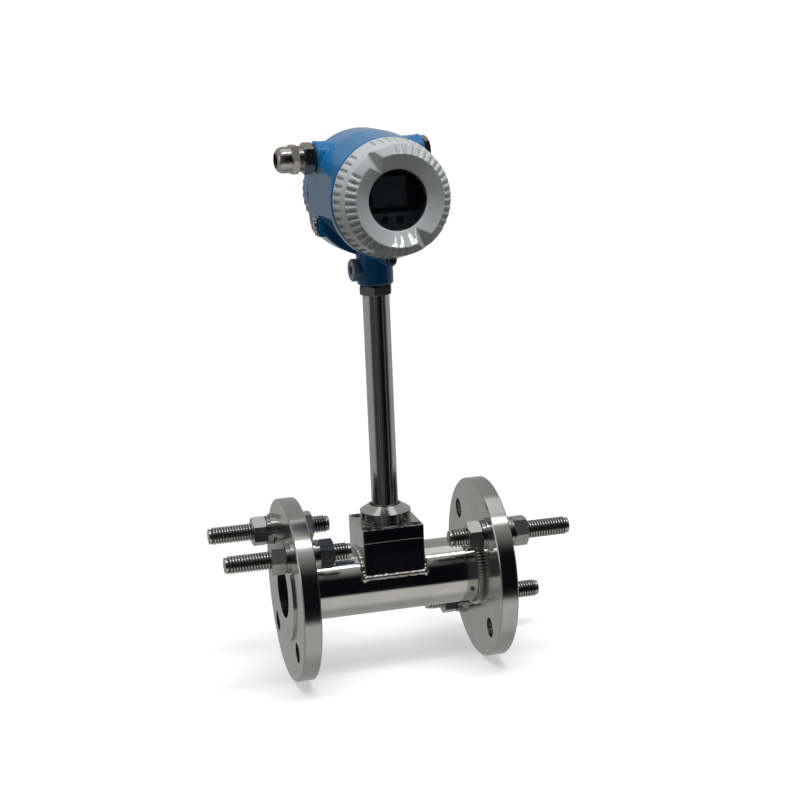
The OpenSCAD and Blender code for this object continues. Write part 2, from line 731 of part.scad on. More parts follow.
// Cable entries
module gland_at() {
  at_head() translate([0, entry_back, 0]) leftward(entry_z) translate([0, 0, entry_x]) children();
}
module plug_at() {
  at_head() translate([0, entry_back, 0]) rightward(entry_z) translate([0, 0, entry_x]) children();
}
module gland_seal() { color("black") gland_at() ring(entry_seal_r, entry_bore_r - run_gap, seal_t); }
module gland_body() {
  color("silver") gland_at() difference() {
    union() {
      translate([0, 0, -gland_thread_l])
        cylinder(r = entry_bore_r - seat_gap, h = gland_thread_l + seal_t + 1);
      translate([0, 0, seal_t]) rotate([0, 0, 10]) turned_hex(gland_af, gland_hex_l);
      translate([0, 0, seal_t + gland_hex_l - 1]) cylinder(r = gland_neck_r, h = gland_neck_l + 1);
      translate([0, 0, seal_t + gland_hex_l + gland_neck_l]) cylinder(r = gland_clamp_r, h = gland_clamp_l);
    }
    translate([0, 0, -gland_thread_l - 1]) cylinder(r = gland_bore_r, h = gland_thread_l + entry_x);
  }
}
module gland_nut() {
  z0 = seal_t + gland_hex_l + gland_neck_l;
  end = gland_nut_l + gland_dome_l;
  inner_r = gland_clamp_r + seat_gap;
  color("silver") gland_at() translate([0, 0, z0]) difference() {
    union() {
      rotate([0, 0, 28]) turned_hex(gland_af, gland_nut_l);
      rotate_extrude() {
        translate([0, 1]) square([gland_dome_r, end - gland_round - 1]);
        translate([0, end - gland_round - 1]) square([gland_dome_r - gland_round, gland_round + 1]);
        intersection() {
          translate([gland_dome_r - gland_round, end - gland_round]) circle(r = gland_round);
          translate([0, end - gland_round - 1]) square([gland_dome_r, gland_round + 2]);
        }
      }
    }
    translate([0, 0, -1]) cylinder(r = inner_r, h = gland_clamp_l + 2);
    translate([0, 0, gland_clamp_l]) cylinder(r1 = inner_r, r2 = gland_mouth_r, h = end - gland_clamp_l - 3);
    translate([0, 0, gland_clamp_l]) cylinder(r = gland_mouth_r, h = end);
  }
}
module gland_insert() {
  z0 = seal_t + gland_hex_l + gland_neck_l + gland_clamp_l;
  len = gland_nut_l + gland_dome_l - gland_clamp_l;
  tip_r = gland_mouth_r - 0.2;
  color("black") gland_at() translate([0, 0, z0]) difference() {
    union() {
      cylinder(r1 = gland_clamp_r - 0.6, r2 = tip_r, h = len - 4.5);
      cylinder(r = tip_r, h = len - 1.5);
    }
    translate([0, 0, -1]) cylinder(r = cable_r, h = len + 2);
  }
}
module plug_seal() { color("black") plug_at() ring(entry_seal_r, entry_bore_r - run_gap, seal_t); }
module entry_plug() {
  color("silver") plug_at() {
    translate([0, 0, -plug_thread_l]) cylinder(r = entry_bore_r - seat_gap, h = plug_thread_l + seal_t + 1);
    translate([0, 0, seal_t]) rotate([0, 0, 10]) turned_hex(plug_af, plug_hex_l);
  }
}

meter_pipe();
inlet_flange();
outlet_flange();
flange_welds();
shedder_bar();
sensor_block();
block_weld();
sensor_gasket();
vortex_sensor();
cap_plate();
cap_screws();
stem_collar();
stem_tube();
lock_nut();
flange_studs();
stud_washers();
stud_spring_washers();
stud_nuts();
housing();
swivel_lock_screw();
cover_lock_screw();
earth_screw();
earth_clamp();
front_seal();
front_cover();
window_gasket();
window_glass();
glass_retainer();
rear_seal();
rear_cover();
display_bezel();
display_panel();
left_button();
right_button();
display_board();
board_pillars();
main_board();
terminal_block();
terminal_screws();
gland_seal();
gland_body();
gland_insert();
gland_nut();
plug_seal();
entry_plug();
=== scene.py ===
"""Looks of a flanged vortex flow meter with a raised transmitter head.

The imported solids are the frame. This script gives every solid its finish, models the
forms that a lathe, a mould or a welder leaves on them, and sets the studio and the camera.
All lengths are in metres, in the frame of the solids.
"""

import logging
import math
from collections.abc import Callable, Iterator
from contextlib import contextmanager
from dataclasses import dataclass, field
from enum import Enum

import bpy
from mathutils import Matrix, Vector


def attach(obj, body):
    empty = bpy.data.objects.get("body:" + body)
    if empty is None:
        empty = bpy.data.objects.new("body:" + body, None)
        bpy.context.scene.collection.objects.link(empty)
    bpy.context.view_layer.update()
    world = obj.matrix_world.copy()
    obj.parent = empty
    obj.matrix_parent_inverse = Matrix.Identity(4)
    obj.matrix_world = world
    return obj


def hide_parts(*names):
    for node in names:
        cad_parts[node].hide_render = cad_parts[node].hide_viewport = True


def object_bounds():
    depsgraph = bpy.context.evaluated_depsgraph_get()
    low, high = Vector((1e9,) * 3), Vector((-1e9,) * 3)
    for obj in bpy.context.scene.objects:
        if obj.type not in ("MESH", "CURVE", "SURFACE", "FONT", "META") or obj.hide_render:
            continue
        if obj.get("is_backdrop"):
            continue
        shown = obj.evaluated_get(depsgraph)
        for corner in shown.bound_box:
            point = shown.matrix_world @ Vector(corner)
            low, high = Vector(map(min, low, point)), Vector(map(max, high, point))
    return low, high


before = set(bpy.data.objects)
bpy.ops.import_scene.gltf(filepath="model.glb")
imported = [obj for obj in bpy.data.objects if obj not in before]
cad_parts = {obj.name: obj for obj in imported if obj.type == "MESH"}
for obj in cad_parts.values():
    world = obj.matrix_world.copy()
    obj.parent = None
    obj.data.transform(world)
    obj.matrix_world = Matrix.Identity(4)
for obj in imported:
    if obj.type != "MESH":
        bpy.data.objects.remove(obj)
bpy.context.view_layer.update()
LOG = logging.getLogger("flow_meter")

Colour = tuple[float, float, float]
Triple = tuple[float, float, float]
Pair = tuple[float, float]
Socket = bpy.types.NodeSocket
Piece = bpy.types.Object
MM = 0.001
MERGE = 0.01 * MM
NODE_MERGE = 0.005 * MM
FILM_WIDTH = 36.0
STEM_X = 98 * MM
HEAD_Z = 351 * MM
HEAD_TURN = 5.0
PIPE_AXIS = (0.0, 0.0, 0.0)
STEM_AXIS = (STEM_X, 0.0, 0.0)
HEAD_AXIS = (STEM_X, 0.0, HEAD_Z)
HEAD_PLACE = Matrix.Translation(HEAD_AXIS) @ Matrix.Rotation(math.radians(HEAD_TURN), 4, "Z")


class Body(str, Enum):
    """Moving bodies that new pieces ride on."""

    BASE = "base"
    HEAD = "head"
    FRONT_COVER = "front_cover"
    REAR_COVER = "rear_cover"


class Slot(str, Enum):
    """Material slots of the record, passed along with new pieces."""

    WELD = "weld"
    FASTENER = "fastener_steel"
    BLUE_PAINT = "blue_paint"
    GREY_PAINT = "grey_paint"
    BRASS = "plated_brass"
    BEZEL = "bezel_plastic"


class Axis(Enum):
    """Axes of the frame, by index."""

    X = 0
    Y = 1
    Z = 2


class Marks(Enum):
    """Ways in which a tool leaves its marks on metal."""

    DRAWN = "lines along an axis"
    TURNED = "rings round an axis"
    GROUND = "short scratches"


class NodeGraph:
    """A node tree with short calls for the nodes that the finishes share."""

    def __init__(self, tree: bpy.types.NodeTree) -> None:
        """Keeps the tree that the calls add to.

        Args:
            tree: Node tree of a material or a world.
        """
        self.tree = tree

    def add(self, kind: str, inputs: dict | None = None, **settings: object) -> bpy.types.Node:
        """Adds one node, sets it up and links what is given as a socket.

        Args:
            kind: Type name of the node.
            inputs: Values or sockets by the name or index of the input.
            **settings: Properties of the node.

        Returns:
            The new node.
        """
        node = self.tree.nodes.new(kind)
        for name, value in settings.items():
            setattr(node, name, value)
        for key, value in (inputs or {}).items():
            if isinstance(value, Socket):
                self.tree.links.new(value, node.inputs[key])
            else:
                node.inputs[key].default_value = value
        return node

    def math(self, operation: str, *values: object) -> Socket:
        """Returns the result of one arithmetic step on numbers or sockets."""
        return self.add("ShaderNodeMath", dict(enumerate(values)), operation=operation).outputs[0]

    def mix(self, share: object, first: object, second: object, blend: str = "MIX") -> Socket:
        """Returns a blend of two tones by a share from 0 to 1."""
        return self.add("ShaderNodeMixRGB", {0: share, 1: first, 2: second}, blend_type=blend).outputs[0]

    def remap(self, value: Socket, source: Pair,
              target: Pair) -> Socket:
        """Maps a number smoothly from one range to another.

        Args:
            value: Number to map.
            source: Range that the number comes from.
            target: Range that the result has.

        Returns:
            The mapped number.
        """
        inputs = {0: value, 1: source[0], 2: source[1], 3: target[0], 4: target[1]}
        node = self.add("ShaderNodeMapRange", inputs, interpolation_type="SMOOTHSTEP")
        return node.outputs[0]

    def ramp(self, value: Socket, stops: list[tuple[float, Colour]]) -> Socket:
        """Turns a number into a colour.

        Args:
            value: Number from 0 to 1.
            stops: Colours and where they stand.

        Returns:
            The colour.
        """
        node = self.add("ShaderNodeValToRGB", {0: value})
        elements = node.color_ramp.elements
        while len(elements) < len(stops):
            elements.new(1.0)
        for element, (position, colour) in zip(elements, stops):
            element.position = position
            element.color = (*colour, 1.0)
        return node.outputs[0]


class Shader(NodeGraph):
    """Node tree of one procedural material around its surface shader."""

    def __init__(self, name: str) -> None:
        """Makes the material.

        Args:
            name: Name of the material.
        """
        self.material = bpy.data.materials.new(name)
        self.material.use_nodes = True
        super().__init__(self.material.node_tree)
        self.surface = self.tree.nodes["Principled BSDF"]

    def constants(self, values: dict[str, object]) -> None:
        """Sets what is the same all over the surface on the shader's own sockets."""
        for name, value in values.items():
            self.surface.inputs[name].default_value = value

    def feed(self, name: str, source: Socket) -> None:
        """Links a pattern to one input of the surface shader."""
        self.tree.links.new(source, self.surface.inputs[name])

    def place(self, scale: Triple, centre: Triple = (0.0, 0.0, 0.0)) -> Socket:
        """Gives the piece's own coordinates, centred and scaled for a pattern.

        Args:
            scale: Cycles of the pattern in a metre along each axis.
            centre: Point that becomes the origin of the pattern.

        Returns:
            The coordinates.
        """
        shift = tuple(-c * s for c, s in zip(centre, scale))
        source = self.add("ShaderNodeTexCoord").outputs["Object"]
        inputs = {"Vector": source, "Location": shift, "Scale": scale}
        return self.add("ShaderNodeMapping", inputs).outputs[0]

    def noise(self, vector: Socket, scale: float = 1.0, detail: float = 3.0) -> Socket:
        """Returns a soft random pattern from 0 to 1."""
        inputs = {"Vector": vector, "Scale": scale, "Detail": detail}
        return self.add("ShaderNodeTexNoise", inputs).outputs[0]

    def clouds(self, cycles: float, detail: float) -> Socket:
        """Returns a soft random pattern with the same cycles in a metre along each axis."""
        return self.noise(self.place((cycles, cycles, cycles)), 1.0, detail)

    def rings(self, axis: Axis, centre: Triple, pitch: float) -> Socket:
        """Makes the grooves that a lathe leaves round an axis, on its faces and on its rims.

        Args:
            axis: Direction of the axis.
            centre: A point on the axis.
            pitch: Mean distance between grooves.

        Returns:
            A pattern from 0 to 1.
        """
        flat = tuple(0.0 if i == axis.value else 1.0 for i in range(3))
        along = tuple(1.0 - value for value in flat)
        radius = self.add("ShaderNodeVectorMath", {0: self.place(flat, centre)}, operation="LENGTH").outputs[1]
        reach = self.add("ShaderNodeVectorMath", {0: self.place(along, centre)}, operation="LENGTH").outputs[1]
        turn = self.add("ShaderNodeCombineXYZ", {0: radius, 1: reach}).outputs[0]
        return self.noise(turn, 1.0 / pitch, 2.0)

    def relief(self, height: Socket, depth: float, edge: float = 0.0) -> None:
        """Raises the surface by a pattern and breaks its sharp edges.

        Args:
            height: Pattern from 0 to 1.
            depth: Height of the pattern.
            edge: Radius of the broken edges.
        """
        inputs: dict = {"Height": height, "Strength": 1.0, "Distance": depth}
        if edge > 0.0:
            inputs["Normal"] = self.add("ShaderNodeBevel", {"Radius": edge}, samples=4).outputs[0]
        self.feed("Normal", self.add("ShaderNodeBump", inputs).outputs[0])


@dataclass(frozen=True)
class Finish:
    """Finish of a surface, made as one procedural material.

    Attributes:
        name: Name of the material.
    """

    name: str

    def material(self) -> bpy.types.Material:
        """Builds the material.

        Returns:
            The material.
        """
        shader = Shader(self.name)
        self.paint(shader)
        return shader.material

    def paint(self, shader: Shader) -> None:
        """Fills in the shader, as each kind of finish does in its own way."""
        raise NotImplementedError


@dataclass(frozen=True)
class MetalFinish(Finish):
    """Bare metal with the marks of the tool that made it.

    Attributes:
        tint: Colour of the metal.
        rough: Lowest and highest roughness.
        marks: Kind of tool marks.
        axis: Axis that the marks run along or round.
        centre: A point on that axis.
        pitch: Distance between marks.
        depth: Depth of the marks.
        edge: Radius of broken edges.
    """

    tint: Colour
    rough: Pair
    marks: Marks = Marks.GROUND
    axis: Axis = Axis.X
    centre: Triple = PIPE_AXIS
    pitch: float = 0.4 * MM
    depth: float = 0.004 * MM
    edge: float = 0.3 * MM

    def paint(self, shader: Shader) -> None:
        """Makes tool marks in the relief and the gloss, faint clouds in the colour.

        Args:
            shader: Shader to fill in.
        """
        shader.constants({"Metallic": 1.0})
        marks = self._pattern(shader)
        clouds = shader.clouds(28.0, 4.0)
        darker = tuple(0.84 * c for c in self.tint)
        shader.feed("Base Color", shader.ramp(clouds, [(0.3, darker), (0.62, self.tint)]))
        mixed = shader.math("ADD", shader.math("MULTIPLY", marks, 0.6), shader.math("MULTIPLY", clouds, 0.4))
        shader.feed("Roughness", shader.remap(mixed, (0.3, 0.7), self.rough))
        shader.relief(marks, self.depth, self.edge)

    def _pattern(self, shader: Shader) -> Socket:
        """Makes the tool marks.

        Args:
            shader: Shader that gets the nodes of the pattern.

        Returns:
            The marks as a number from 0 to 1.
        """
        fine = 1.0 / self.pitch
        if self.marks is Marks.TURNED:
            return shader.rings(self.axis, self.centre, self.pitch)
        if self.marks is Marks.DRAWN:
            stretch = tuple(6.0 if i == self.axis.value else fine for i in range(3))
            return shader.noise(shader.place(stretch), 1.0, 2.0)
        stretch = tuple(0.12 * fine if i == self.axis.value else fine for i in range(3))
        return shader.noise(shader.place(stretch), 1.0, 3.0)


@dataclass(frozen=True)
class PaintFinish(Finish):
    """Sprayed and baked enamel on a casting.

    Attributes:
        colour: Main colour.
        shade: Colour where the coat is thicker.
        rough: Lowest and highest roughness of the colour coat.
        coat: Strength of the clear gloss.
        coat_rough: Roughness of the clear gloss.
        coat_ior: Index of refraction of the clear gloss.
        specular: Gloss of the colour coat under it.
        peel: Height of the orange peel.
        edge: Radius of the edges that the coat rounds off.
    """

    colour: Colour
    shade: Colour
    rough: Pair = (0.28, 0.4)
    coat: float = 0.5
    coat_rough: float = 0.04
    coat_ior: float = 1.5
    specular: float = 0.2
    peel: float = 0.006 * MM
    edge: float = 0.8 * MM

    def paint(self, shader: Shader) -> None:
        """Makes faint clouds in the colour, orange peel in the relief.

        Args:
            shader: Shader to fill in.
        """
        shader.constants({"Coat Weight": self.coat, "Coat Roughness": self.coat_rough, "Coat IOR": self.coat_ior,
                          "Specular IOR Level": self.specular})
        clouds = shader.clouds(35.0, 4.0)
        shader.feed("Base Color", shader.ramp(clouds, [(0.32, self.shade), (0.66, self.colour)]))
        peel = shader.clouds(650.0, 1.0)
        shader.feed("Roughness", shader.remap(peel, (0.3, 0.7), self.rough))
        shader.relief(peel, self.peel, self.edge)


@dataclass(frozen=True)
class MouldedFinish(Finish):
    """Moulded rubber or plastic with a fine grain.

    Attributes:
        colour: Main colour.
        pale: Colour of the high points of the grain.
        rough: Lowest and highest roughness.
        grain: Size of the grain.
        depth: Height of the grain.
        edge: Radius of moulded edges.
    """

    colour: Colour
    pale: Colour
    rough: Pair = (0.45, 0.65)
    grain: float = 0.5 * MM
    depth: float = 0.02 * MM
    edge: float = 0.3 * MM

    def paint(self, shader: Shader) -> None:
        """Makes one grain in colour, gloss and relief.

        Args:
            shader: Shader to fill in.
        """
        cycles = 1.0 / self.grain
        grain = shader.clouds(cycles, 2.0)
        shader.feed("Base Color", shader.ramp(grain, [(0.35, self.colour), (0.7, self.pale)]))
        shader.feed("Roughness", shader.remap(grain, (0.3, 0.7), self.rough))
        shader.relief(grain, self.depth, self.edge)


@dataclass(frozen=True)
class WovenFinish(Finish):
    """Printed film with a fine diagonal weave.

    Attributes:
        colour: Colour of the ground.
        pale: Colour of the threads.
        pitch: Distance from thread to thread.
    """

    colour: Colour
    pale: Colour
    pitch: float

    def paint(self, shader: Shader) -> None:
        """Makes bands across one diagonal in colour, gloss and relief.

        Args:
            shader: Shader to fill in.
        """
        cycles = 1.0 / self.pitch
        inputs = {"Vector": shader.place((cycles, cycles, cycles)), "Scale": 0.32, "Distortion": 1.5, "Detail": 1.0}
        weave = shader.add("ShaderNodeTexWave", inputs, bands_direction="DIAGONAL").outputs[1]
        shader.feed("Base Color", shader.ramp(weave, [(0.3, self.colour), (0.7, self.pale)]))
        shader.feed("Roughness", shader.remap(weave, (0.2, 0.8), (0.5, 0.35)))
        shader.relief(weave, 0.05 * MM)


@dataclass(frozen=True)
class WeldFinish(Finish):
    """Weld metal with a faint heat tint.

    Attributes:
        tint: Colour of the clean bead.
        heat: Colour where the bead ran hot.
        rough: Lowest and highest roughness.
    """

    tint: Colour
    heat: Colour
    rough: Pair

    def paint(self, shader: Shader) -> None:
        """Makes heat tint in clouds, a grainy skin in the relief.

        Args:
            shader: Shader to fill in.
        """
        shader.constants({"Metallic": 1.0})
        clouds = shader.clouds(120.0, 3.0)
        shader.feed("Base Color", shader.ramp(clouds, [(0.35, self.heat), (0.6, self.tint)]))
        skin = shader.clouds(1500.0, 2.0)
        shader.feed("Roughness", shader.remap(skin, (0.3, 0.7), self.rough))
        shader.relief(skin, 0.008 * MM)


@dataclass(frozen=True)
class WindowFinish(Finish):
    """Thick toughened glass with a faint smoke tint.

    Attributes:
        tint: Colour that the light keeps on its way through.
    """

    tint: Colour

    def paint(self, shader: Shader) -> None:
        """Makes clear glass with faint wipe marks in its gloss.

        Args:
            shader: Shader to fill in.
        """
        shader.constants({"Base Color": (*self.tint, 1.0), "Transmission Weight": 1.0, "IOR": 1.47})
        wipes = shader.noise(shader.place((60.0, 60.0, 220.0)), 1.0, 3.0)
        shader.feed("Roughness", shader.remap(wipes, (0.35, 0.75), (0.0, 0.05)))


@dataclass(frozen=True)
class BoardFinish(Finish):
    """Lacquered circuit board with tinned pads.

    Attributes:
        lacquer: Colour of the lacquer.
        track: Colour of the lacquer over copper.
        pad: Colour of the pads.
    """

    lacquer: Colour
    track: Colour
    pad: Colour

    def paint(self, shader: Shader) -> None:
        """Makes tracks as cells, pads as dots.

        Args:
            shader: Shader to fill in.
        """
        inputs = {"Vector": shader.place((420.0, 420.0, 420.0)), "Scale": 1.0}
        cells = shader.add("ShaderNodeTexVoronoi", inputs, distance="CHEBYCHEV").outputs[0]
        stops = [(0.08, self.pad), (0.12, self.lacquer), (0.4, self.lacquer), (0.46, self.track)]
        shader.feed("Base Color", shader.ramp(cells, stops))
        shader.feed("Roughness", shader.remap(cells, (0.0, 0.6), (0.25, 0.45)))


POLISHED_PIPE = MetalFinish("polished pipe steel", (0.58, 0.575, 0.56), (0.07, 0.15), Marks.DRAWN, Axis.X)
POLISHED_STEM = MetalFinish("polished stem steel", (0.56, 0.555, 0.545), (0.08, 0.16), Marks.DRAWN, Axis.Z)
TURNED_FLANGE = MetalFinish("turned flange steel", (0.49, 0.487, 0.475), (0.12, 0.22), Marks.TURNED, Axis.X,
                            PIPE_AXIS, 0.5 * MM, 0.005 * MM)
TURNED_COLLAR = MetalFinish("turned collar steel", (0.57, 0.56, 0.54), (0.1, 0.2), Marks.TURNED, Axis.Z,
                            STEM_AXIS, 0.4 * MM, 0.005 * MM, 0.25 * MM)
GROUND_BLOCK = MetalFinish("ground block steel", (0.47, 0.467, 0.46), (0.06, 0.14), Marks.GROUND, Axis.X,
                           depth=0.003 * MM, edge=0.5 * MM)
BRIGHT_FASTENER = MetalFinish("bright fastener steel", (0.46, 0.456, 0.448), (0.14, 0.26), depth=0.002 * MM)
DARK_FASTENER = MetalFinish("dark fastener steel", (0.16, 0.16, 0.165), (0.24, 0.4), depth=0.006 * MM)
# Dark core under the stud threads: painted shade in the thread grooves.
GROOVE_SHADE_STEEL = MetalFinish("painted groove shade", (0.10, 0.10, 0.10), (0.3, 0.45), depth=0.006 * MM)
SPRING_STEEL = MetalFinish("spring steel", (0.32, 0.32, 0.32), (0.16, 0.28), depth=0.003 * MM)
NICKEL_PLATE = MetalFinish("nickel plated brass", (0.46, 0.44, 0.40), (0.16, 0.28), depth=0.002 * MM)
RETAINER_METAL = MetalFinish("retainer metal", (0.5, 0.5, 0.5), (0.25, 0.4), Marks.TURNED, Axis.Y, HEAD_AXIS)
SCREW_ENAMEL = PaintFinish("blue grey screw enamel", (0.28, 0.33, 0.39), (0.24, 0.29, 0.35), (0.3, 0.42), 0.3)
BLUE_ENAMEL = PaintFinish("blue enamel", (0.006, 0.17, 0.405), (0.005, 0.148, 0.36), coat=0.8, coat_ior=1.3,
                          edge=0.6 * MM)
GREY_ENAMEL = PaintFinish("pale grey enamel", (0.56, 0.59, 0.595), (0.51, 0.54, 0.545), (0.3, 0.42), 1.0, 0.05,
                          edge=0.7 * MM)
SEAL_RUBBER = MouldedFinish("seal rubber", (0.012, 0.012, 0.013), (0.03, 0.03, 0.032))
GRAPHITE = MouldedFinish("graphite sheet", (0.05, 0.05, 0.055), (0.11, 0.11, 0.115), (0.4, 0.55), 0.8 * MM)
BEZEL_PLASTIC = MouldedFinish("bezel plastic", (0.004, 0.004, 0.006), (0.006, 0.006, 0.008), (0.3, 0.4), 0.7 * MM)
KEYPAD_FILM = WovenFinish("keypad film", (0.075, 0.10, 0.115), (0.21, 0.26, 0.285), 1.3 * MM)
KEY_RING = MouldedFinish("key ring plastic", (0.14, 0.17, 0.18), (0.18, 0.21, 0.22), (0.3, 0.45))
BUTTON_RUBBER = MouldedFinish("button rubber", (0.010, 0.011, 0.012), (0.022, 0.024, 0.026), (0.35, 0.5))
LCD_PANEL = MouldedFinish("display film", (0.10, 0.13, 0.165), (0.11, 0.14, 0.175), (0.12, 0.2), 3.0 * MM, 0.0)
TERMINAL_PLASTIC = MouldedFinish("terminal plastic", (0.05, 0.16, 0.07), (0.07, 0.2, 0.09))
CIRCUIT_BOARD = BoardFinish("circuit board", (0.01, 0.08, 0.03), (0.015, 0.12, 0.045), (0.55, 0.55, 0.5))
WINDOW_GLASS = WindowFinish("window glass", (0.80, 0.83, 0.86))
WELD_METAL = WeldFinish("weld metal", (0.56, 0.55, 0.53), (0.46, 0.44, 0.41), (0.1, 0.22))

NODE_FINISHES: dict[Finish, tuple[str, ...]] = {
    POLISHED_PIPE: ("meter_pipe",),
    TURNED_FLANGE: ("inlet_flange", "outlet_flange"),
    WELD_METAL: ("flange_welds", "block_weld"),
    GROUND_BLOCK: ("sensor_block", "cap_plate", "shedder_bar", "vortex_sensor"),
    GRAPHITE: ("sensor_gasket",),
    DARK_FASTENER: ("cap_screws", "lock_nut", "cover_lock_screw"),
    TURNED_COLLAR: ("stem_collar",),
    POLISHED_STEM: ("stem_tube",),
    BRIGHT_FASTENER: ("flange_studs", "stud_washers", "stud_nuts", "earth_screw", "earth_clamp", "board_pillars",
                      "terminal_screws"),
    SPRING_STEEL: ("stud_spring_washers",),
    BLUE_ENAMEL: ("housing", "rear_cover"),
    GREY_ENAMEL: ("front_cover",),
    SCREW_ENAMEL: ("swivel_lock_screw",),
    SEAL_RUBBER: ("front_seal", "rear_seal", "window_gasket", "gland_seal", "gland_insert", "plug_seal"),
    WINDOW_GLASS: ("window_glass",),
    RETAINER_METAL: ("glass_retainer",),
    BEZEL_PLASTIC: ("display_bezel",),
    LCD_PANEL: ("display_panel",),
    BUTTON_RUBBER: ("left_button", "right_button"),
    CIRCUIT_BOARD: ("display_board", "main_board"),
    TERMINAL_PLASTIC: ("terminal_block",),
    NICKEL_PLATE: ("gland_body", "gland_nut", "entry_plug"),
}


class Bench:
    """Hand tools of the workshop: selecting, editing, copying and joining meshes."""

    made: dict[Finish, bpy.types.Material] = {}

    @staticmethod
    def clear() -> None:
        """Leaves object mode with nothing selected."""
        if bpy.context.object is not None and bpy.context.object.mode != "OBJECT":
            bpy.ops.object.mode_set(mode="OBJECT")
        bpy.ops.object.select_all(action="DESELECT")

    @classmethod
    def pick(cls, piece: Piece) -> None:
        """Makes one piece the only selected and active one.

        Args:
            piece: Piece to pick.
        """
        cls.clear()
        piece.select_set(True)
        bpy.context.view_layer.objects.active = piece

    @classmethod
    @contextmanager
    def editing(cls, piece: Piece) -> Iterator[None]:
        """Opens a piece in edit mode, with all of it selected, for a block of operators.

        Args:
            piece: Piece to edit.

        Yields:
            Nothing.
        """
        cls.pick(piece)
        bpy.ops.object.mode_set(mode="EDIT")
        bpy.ops.mesh.select_all(action="SELECT")
        yield
        bpy.ops.object.mode_set(mode="OBJECT")

    @classmethod
    def mark_faces(cls, piece: Piece, test: Callable[[bpy.types.MeshPolygon], bool]) -> None:
        """Selects the faces that pass a test, and nothing else, for the next edit.

        Args:
            piece: Piece whose faces are tested.
            test: Says whether a face is wanted.
        """
        cls.pick(piece)
        bpy.ops.object.mode_set(mode="EDIT")
        bpy.ops.mesh.select_mode(type="FACE")
        bpy.ops.mesh.select_all(action="DESELECT")
        bpy.ops.object.mode_set(mode="OBJECT")
        for face in piece.data.polygons:
            face.select = test(face)
        bpy.ops.object.mode_set(mode="EDIT")

    @classmethod
    def apply(cls, piece: Piece, kind: str, **settings: object) -> None:
        """Adds one modifier, sets it up and applies it.

        Args:
            piece: Piece to change.
            kind: Type of the modifier.
            **settings: Properties of the modifier.
        """
        cls.pick(piece)
        modifier = piece.modifiers.new(kind.lower(), kind)
        for name, value in settings.items():
            setattr(modifier, name, value)
        bpy.ops.object.modifier_apply(modifier=modifier.name)

    @classmethod
    def clean(cls, piece: Piece, sides: int = 0) -> None:
        """Merges doubles, closes holes of up to some sides and turns all faces outwards.

        Args:
            piece: Piece to clean.
            sides: Most sides of a hole that is closed, or 0 to close none.
        """
        with cls.editing(piece):
            bpy.ops.mesh.remove_doubles(threshold=MERGE)
            if sides:
                bpy.ops.mesh.fill_holes(sides=sides)
            bpy.ops.mesh.normals_make_consistent(inside=False)

    @classmethod
    def settle(cls, piece: Piece) -> None:
        """Puts the place of a piece into its mesh, so that its object sits at the origin."""
        cls.pick(piece)
        bpy.ops.object.transform_apply(location=True, rotation=True, scale=True)

    @classmethod
    def copies(cls, piece: Piece, places: list[Matrix]) -> Piece:
        """Copies a settled piece to each place and joins the copies.

        Args:
            piece: Piece to copy, which is used up.
            places: Where each copy goes.

        Returns:
            One piece with all copies.
        """
        made = []
        for place in places:
            mesh = piece.data.copy()
            mesh.transform(place)
            copy = bpy.data.objects.new(piece.name, mesh)
            bpy.context.collection.objects.link(copy)
            made.append(copy)
        bpy.data.objects.remove(piece)
        return cls.join(made)

    @classmethod
    def join(cls, pieces: list[Piece]) -> Piece:
        """Joins several pieces into the first.

        Args:
            pieces: Pieces to join.

        Returns:
            The joined piece.
        """
        cls.clear()
        for piece in pieces:
            piece.select_set(True)
        bpy.context.view_layer.objects.active = pieces[0]
        bpy.ops.object.join()
        return bpy.context.object

    @classmethod
    def from_node(cls, node: str) -> Piece:
        """Copies the mesh of a CAD node into a new piece, with its loose triangles merged.

        Args:
            node: Name of the node.

        Returns:
            The new piece.
        """
        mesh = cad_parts[node].data.copy()
        piece = bpy.data.objects.new(node + "_copy", mesh)
        bpy.context.collection.objects.link(piece)
        cls.pick(piece)
        if mesh.has_custom_normals:
            bpy.ops.mesh.customdata_custom_splitnormals_clear()
        with cls.editing(piece):
            bpy.ops.mesh.remove_doubles(threshold=NODE_MERGE)
        return piece

    @classmethod
    def material(cls, finish: Finish) -> bpy.types.Material:
        """Gives the material of a finish, which is made once.

        Args:
            finish: Finish of a piece.

        Returns:
            Its material.
        """
        if finish not in cls.made:
            cls.made[finish] = finish.material()
        return cls.made[finish]

    @classmethod
    def deliver(cls, piece: Piece, name: str, finish: Finish, body: Body, slot: Slot,
                smooth: float, replaced: tuple[str, ...] = ()) -> None:
        """Names a finished piece, dresses it and hands it to the body that carries it.

        Args:
            piece: Finished piece, at the origin.
            name: Its name.
            finish: Its finish.
            body: Body that it rides on.
            slot: Material slot of the record; not used.
            smooth: Angle in degrees under which edges are shaded smooth.
            replaced: CAD nodes that it stands for.
        """
        cls.pick(piece)
        bpy.ops.object.shade_smooth_by_angle(angle=math.radians(smooth))
        piece.name = name
        piece.data.name = name
        piece.data.materials.clear()
        piece.data.materials.append(cls.material(finish))
        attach(piece, body.value)
        if replaced:
            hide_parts(*replaced)
        LOG.info("%s: %d faces on %s", name, len(piece.data.polygons), body.value)


